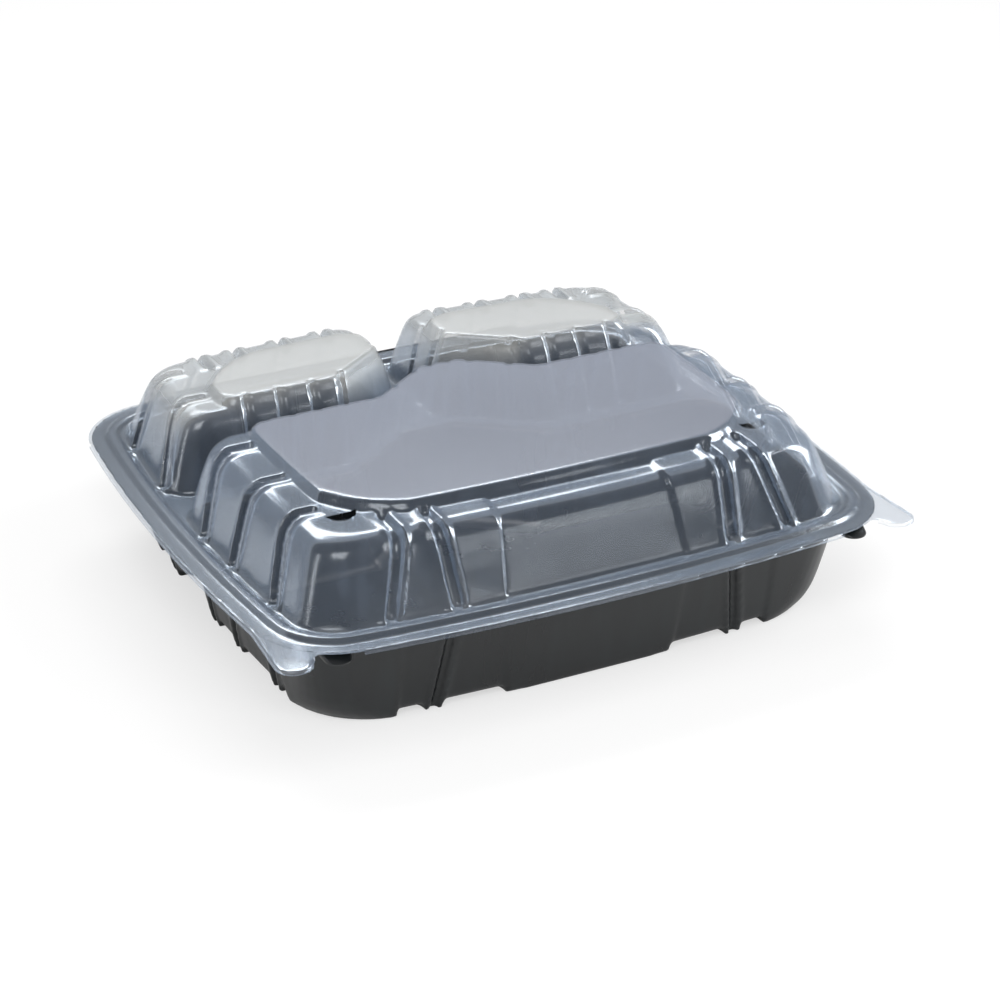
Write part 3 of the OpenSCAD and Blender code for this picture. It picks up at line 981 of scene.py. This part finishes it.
class Graph:
    """The nodes of one material or of the world."""

    def __init__(self, owner: bpy.types.Material | bpy.types.World) -> None:
        """Starts an empty graph for a material or for the world."""
        owner.use_nodes = True
        self.tree = owner.node_tree
        self.tree.nodes.clear()

    def node(self, kind: str, settings: dict | None = None, sockets: dict | None = None) -> Handle:
        """Adds a node.

        Args:
            kind: The node's type.
            settings: Its settings, and the stops of a colour ramp under "stops".
            sockets: Values or wires of its inputs, by name or number.

        Returns:
            The node, wrapped.
        """
        made = self.tree.nodes.new(kind)
        for name, value in (settings or {}).items():
            if name == "stops":
                ramp = made.color_ramp.elements
                while len(ramp) < len(value):
                    ramp.new(0.5)
                for element, (place, colour) in zip(ramp, value):
                    element.position = place
                    element.color = colour
            else:
                setattr(made, name, value)
        for name, value in (sockets or {}).items():
            if isinstance(value, Wire):
                self.tree.links.new(value.socket, made.inputs[name])
            elif isinstance(value, Handle):
                self.tree.links.new(value.node.outputs[0], made.inputs[name])
            else:
                made.inputs[name].default_value = value
        return Handle(self, made)

    def place(self) -> tuple[Wire, Wire, Wire, Wire]:
        """The place on the piece, as a vector and as its three parts."""
        vector = self.node("ShaderNodeTexCoord").wire("Object")
        parts = self.node("ShaderNodeSeparateXYZ", {}, {"Vector": vector})
        return vector, parts.wire("X"), parts.wire("Y"), parts.wire("Z")

    def ease(self, value: Wire, low: float, high: float) -> Wire:
        """A smooth change from 0 at low to 1 at high."""
        return self.node(
            "ShaderNodeMapRange",
            {"interpolation_type": "SMOOTHSTEP", "clamp": True},
            {"Value": value, "From Min": low, "From Max": high, "To Min": 0.0, "To Max": 1.0},
        ).wire("Result")

    def noise(
        self, vector: Wire, scale: float, detail: float = 2.0, stretch: Place = (1.0, 1.0, 1.0)
    ) -> Wire:
        """Cloudy noise.

        Args:
            vector: The place it is read at.
            scale: How many clouds fit in a metre.
            detail: How fine its detail is.
            stretch: How the place is scaled along each axis first.

        Returns:
            The noise from 0 to 1.
        """
        mapped = self.node(
            "ShaderNodeMapping", {"vector_type": "POINT"}, {"Vector": vector, "Scale": stretch}
        )
        sockets = {"Vector": mapped.wire("Vector"), "Scale": scale, "Detail": detail}
        return self.node("ShaderNodeTexNoise", {}, sockets).wire("Fac")

    def blend(self, share: Wire | float, first: tuple | Wire, second: tuple | Wire) -> Wire:
        """A mix of two colours."""
        mix = self.node("ShaderNodeMix", {"data_type": "RGBA"})
        for number, value in ((0, share), (6, first), (7, second)):
            if isinstance(value, Wire):
                self.tree.links.new(value.socket, mix.node.inputs[number])
            else:
                mix.node.inputs[number].default_value = value
        return Wire(self, mix.node.outputs[2])

    def bump(self, strength: float, height: Wire) -> Wire:
        """A surface that a height makes uneven."""
        sockets = {"Strength": strength, "Distance": 0.0008, "Height": height}
        return self.node("ShaderNodeBump", {}, sockets).wire("Normal")

    def show(self, shader: Handle, kind: str = "ShaderNodeOutputMaterial") -> None:
        """Makes a shader the graph's result."""
        self.node(kind, {}, {"Surface": shader})


@dataclass(frozen=True)
class ClearSheet:
    """See-through formed sheet: faintly blue walls, frosted tops, and a painted cream glow over the rear
    domes for the light that shines through them from behind.
    """

    name: str = "clear_sheet"
    milky: tuple = (0.36, 0.44, 0.58, 1.0)
    frost: tuple = (0.50, 0.52, 0.62, 1.0)
    # Cream of the painted glow on the rear domes, standing in for light shining through them from behind.
    backlit_cream: tuple = (0.72, 0.72, 0.69, 1.0)
    wall_opacity: float = 0.04
    frost_opacity: float = 0.18
    # Extra opacity of the painted glow on the rear domes.
    backlit_opacity: float = 0.27
    gloss: float = 0.42
    top_z: Point = (0.0756, 0.0760)
    # Where the painted glow on the rear domes starts, in depth and in height.
    backlit_y: Point = (0.030, 0.040)
    backlit_z: Point = (0.052, 0.0755)
    rim_z: Point = (0.0440, 0.0475)

    def make(self) -> bpy.types.Material:
        """Builds the material."""
        material = bpy.data.materials.new(self.name)
        graph = Graph(material)
        vector, _, y, z = graph.place()
        top = graph.ease(z, *self.top_z)
        # Painted backlight: the rear domes are made paler, creamier, more opaque and rougher towards their
        # tops, for light shining through them from behind.
        backlit_glow = graph.ease(y, *self.backlit_y) * graph.ease(z, *self.backlit_z)
        rim = 1.0 - graph.ease(z, *self.rim_z)
        clouds = graph.noise(vector, 16.0, 3.0)
        flow = graph.ease(graph.noise(vector, 1.0, 2.0, (120.0, 120.0, 10.0)), 0.45, 0.75)
        colour = graph.blend(backlit_glow, graph.blend(top, self.milky, self.frost), self.backlit_cream)
        # Painted sheen: the milky sheet is made more opaque at grazing angles, standing in for its reflection
        # there.
        grazing_sheen = graph.node("ShaderNodeLayerWeight", {}, {"Blend": 0.30}).wire("Fresnel")
        opacity = (
            self.wall_opacity
            + top * (1.0 - backlit_glow) * self.frost_opacity
            + backlit_glow * (0.6 + top * 0.4) * self.backlit_opacity
            + (1.0 - top) * (1.0 - rim) * flow * 0.03
            + clouds * 0.03
            + grazing_sheen * (0.22 - rim * 0.12)
        ).clamped(0.0, 0.96)
        rough = 0.14 + top * 0.16 + backlit_glow * 0.12 + rim * 0.05 + clouds * 0.06
        bump = graph.bump(0.035, graph.noise(vector, 60.0, 1.0))
        shader = graph.node("ShaderNodeBsdfPrincipled", {}, {
            "Base Color": colour,
            "Roughness": rough,
            "IOR": 1.6,
            "Alpha": opacity,
            "Normal": bump,
        })
        shine = graph.node("ShaderNodeBsdfPrincipled", {}, {
            "Base Color": (0.86, 0.93, 1.0, 1.0),
            "Metallic": 1.0,
            "Roughness": rough,
            "Normal": bump,
        })
        mirror = graph.node("ShaderNodeFresnel", {}, {"IOR": 1.5}).wire("Fac") * self.gloss
        mirror = mirror * (1.0 - top * 0.65)
        graph.show(graph.node("ShaderNodeMixShader", {}, {0: mirror, 1: shader, 2: shine}))
        return material


@dataclass(frozen=True)
class BlackSheet:
    """Black formed sheet with a satin gloss and fine flow marks."""

    name: str = "black_sheet"
    deep: tuple = (0.006, 0.007, 0.008, 1.0)
    grey: tuple = (0.012, 0.016, 0.018, 1.0)

    def make(self) -> bpy.types.Material:
        """Builds the material."""
        material = bpy.data.materials.new(self.name)
        graph = Graph(material)
        vector, _, _, _ = graph.place()
        clouds = graph.noise(vector, 20.0, 3.0)
        flow = graph.ease(graph.noise(vector, 1.0, 2.0, (130.0, 130.0, 12.0)), 0.40, 0.75)
        grit = graph.noise(vector, 1800.0, 2.0)
        bump = graph.bump(0.05, graph.noise(vector, 80.0, 2.0) + grit * 0.05)
        shader = graph.node("ShaderNodeBsdfPrincipled", {}, {
            "Base Color": graph.blend(clouds * 0.5 + flow * 0.4, self.deep, self.grey),
            "Roughness": 0.24 + clouds * 0.08 + flow * 0.06,
            "IOR": 1.5,
            "Normal": bump,
        })
        graph.show(shader)
        return material


@dataclass
class Studio:
    """Floor, soft lights and the camera of the photograph."""

    azimuth: float = -26.09
    elevation: float = 26.01
    roll: float = -0.35
    distance: float = 1088.32
    look: Place = (0.0, 0.0, 38.0)
    lens_px: float = 2752.51
    frame_px: int = 1000
    sensor: int = 36
    shift: Point = (0.02714, -0.0217)

    def camera(self) -> None:
        """Sets up the camera as the photograph was taken."""
        a, e, r = (math.radians(v) for v in (self.azimuth, self.elevation, self.roll))
        back = Vector((math.sin(a) * math.cos(e), -math.cos(a) * math.cos(e), math.sin(e)))
        right = Vector((math.cos(a), math.sin(a), 0))
        up = back.cross(right)
        turned = right * math.cos(r) + up * math.sin(r)
        upright = up * math.cos(r) - right * math.sin(r)
        data = bpy.data.cameras.new("camera")
        data.sensor_width = self.sensor
        data.lens = self.lens_px * self.sensor / self.frame_px
        data.shift_x, data.shift_y = self.shift
        data.clip_start = 0.05
        data.clip_end = 50
        camera = bpy.data.objects.new("camera", data)
        place = (Vector(self.look) + back * self.distance) * MM
        camera.matrix_world = Matrix((
            (turned.x, upright.x, back.x, place.x),
            (turned.y, upright.y, back.y, place.y),
            (turned.z, upright.z, back.z, place.z),
            (0, 0, 0, 1),
        ))
        bpy.context.scene.collection.objects.link(camera)
        bpy.context.scene.camera = camera

    def floor(self) -> None:
        """Lays a plain white floor that keeps the container's soft shadow."""
        bpy.ops.object.select_all(action="DESELECT")
        bpy.ops.mesh.primitive_plane_add(size=12, location=(0, 0, 0))
        floor = bpy.context.object
        floor.name = "floor"
        material = bpy.data.materials.new("white_floor")
        graph = Graph(material)
        vector = graph.place()[0]
        tone = graph.blend(graph.noise(vector, 3.0), (0.90, 0.90, 0.90, 1), (0.92, 0.92, 0.92, 1))
        matt = graph.node("ShaderNodeBsdfDiffuse", {}, {"Color": tone})
        glow = graph.node("ShaderNodeEmission", {}, {"Color": (1, 1, 1, 1), "Strength": 1.0})
        seen = graph.node("ShaderNodeLightPath").wire("Is Camera Ray")
        mix = graph.node("ShaderNodeMixShader", {}, {0: seen * 0.62, 1: matt, 2: glow})
        graph.show(mix)
        floor.data.materials.append(material)

    def world(self) -> None:
        """Fills the surroundings with even light and a white background."""
        world = bpy.data.worlds.new("studio")
        bpy.context.scene.world = world
        graph = Graph(world)
        path = graph.node("ShaderNodeLightPath")
        seen = (path.wire("Is Camera Ray") + path.wire("Is Transmission Ray")).clamped()
        light = 0.38 + seen * 0.62
        sky = graph.node("ShaderNodeBackground", {}, {"Color": (1, 1, 1, 1), "Strength": light})
        graph.show(sky, "ShaderNodeOutputWorld")

    def lamp(self, name: str, place: Place, target: Place, size: Point, power: float) -> None:
        """Hangs one soft box that points at a target; lengths are in metres."""
        data = bpy.data.lights.new(name, "AREA")
        data.shape = "RECTANGLE"
        data.size, data.size_y = size
        data.energy = power
        lamp = bpy.data.objects.new(name, data)
        lamp.location = place
        lamp.rotation_euler = (Vector(target) - Vector(place)).to_track_quat("-Z", "Y").to_euler()
        bpy.context.scene.collection.objects.link(lamp)

    def build(self) -> None:
        """Sets up camera, floor, surroundings and lights."""
        self.camera()
        self.floor()
        self.world()
        self.lamp("key", (-0.55, -0.75, 1.05), (0, 0, 0.03), (0.7, 0.5), 9.0)
        self.lamp("side", (0.95, -0.25, 0.55), (0, 0, 0.04), (0.35, 0.8), 6.0)
        self.lamp("back", (0.15, 0.85, 1.05), (0, 0, 0.05), (1.0, 0.4), 8.0)
        self.lamp("front", (0.50, -0.98, 0.42), (0, 0, 0.05), (0.42, 0.34), 1.8)
        self.lamp("left", (-1.05, -0.08, 0.48), (0, 0, 0.05), (0.14, 0.5), 1.6)
        view = bpy.context.scene.view_settings
        view.view_transform = "Standard"


def dress(obj: Body, material: bpy.types.Material, body: str) -> None:
    """Gives a finished sheet its material and its place in the frame.

    Args:
        obj: The sheet.
        material: Its material.
        body: The body and the node of the frame that it stands for.
    """
    obj.data.materials.clear()
    obj.data.materials.append(material)
    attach(obj, body)
    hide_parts(body)
    obj.data.calc_loop_triangles()
    log.info("%s: %d triangles", obj.name, len(obj.data.loop_triangles))


def main() -> None:
    """Builds the container and the studio, and reports each piece."""
    logging.basicConfig(level=logging.INFO, format="%(name)s: %(message)s")
    Studio().build()
    dress(BaseShell().build(), BlackSheet().make(), "base")
    dress(LidShell().build(), ClearSheet().make(), "lid")
    bpy.context.view_layer.update()


if __name__ == "__main__":
    main()
